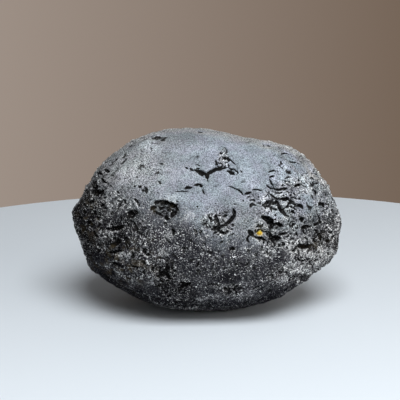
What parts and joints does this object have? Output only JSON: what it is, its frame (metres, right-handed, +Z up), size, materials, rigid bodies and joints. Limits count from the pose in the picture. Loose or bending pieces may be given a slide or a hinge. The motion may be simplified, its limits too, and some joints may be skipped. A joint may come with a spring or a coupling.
{
  "type": "tektite",
  "caption": "Oval black tektite about 70 mm long, smooth on its broad face with curved gashes, pitted at both ends, with a crumb of yellow earth lodged in one gash.",
  "frame": {"origin": "under the middle of the stone, on the level of the small flat that it rests on", "axes": "+Z up as the stone lies, X along its long axis, -Y out of the broad smooth face"},
  "size_m": [0.0703, 0.0497, 0.0475],
  "materials": {
    "black_glass": "satin",
    "yellow_earth": "matte"
  },
  "bodies": {
    "root": {"tektite": "black_glass", "lodged_crumb": "yellow_earth"}
  },
  "joints": []
}
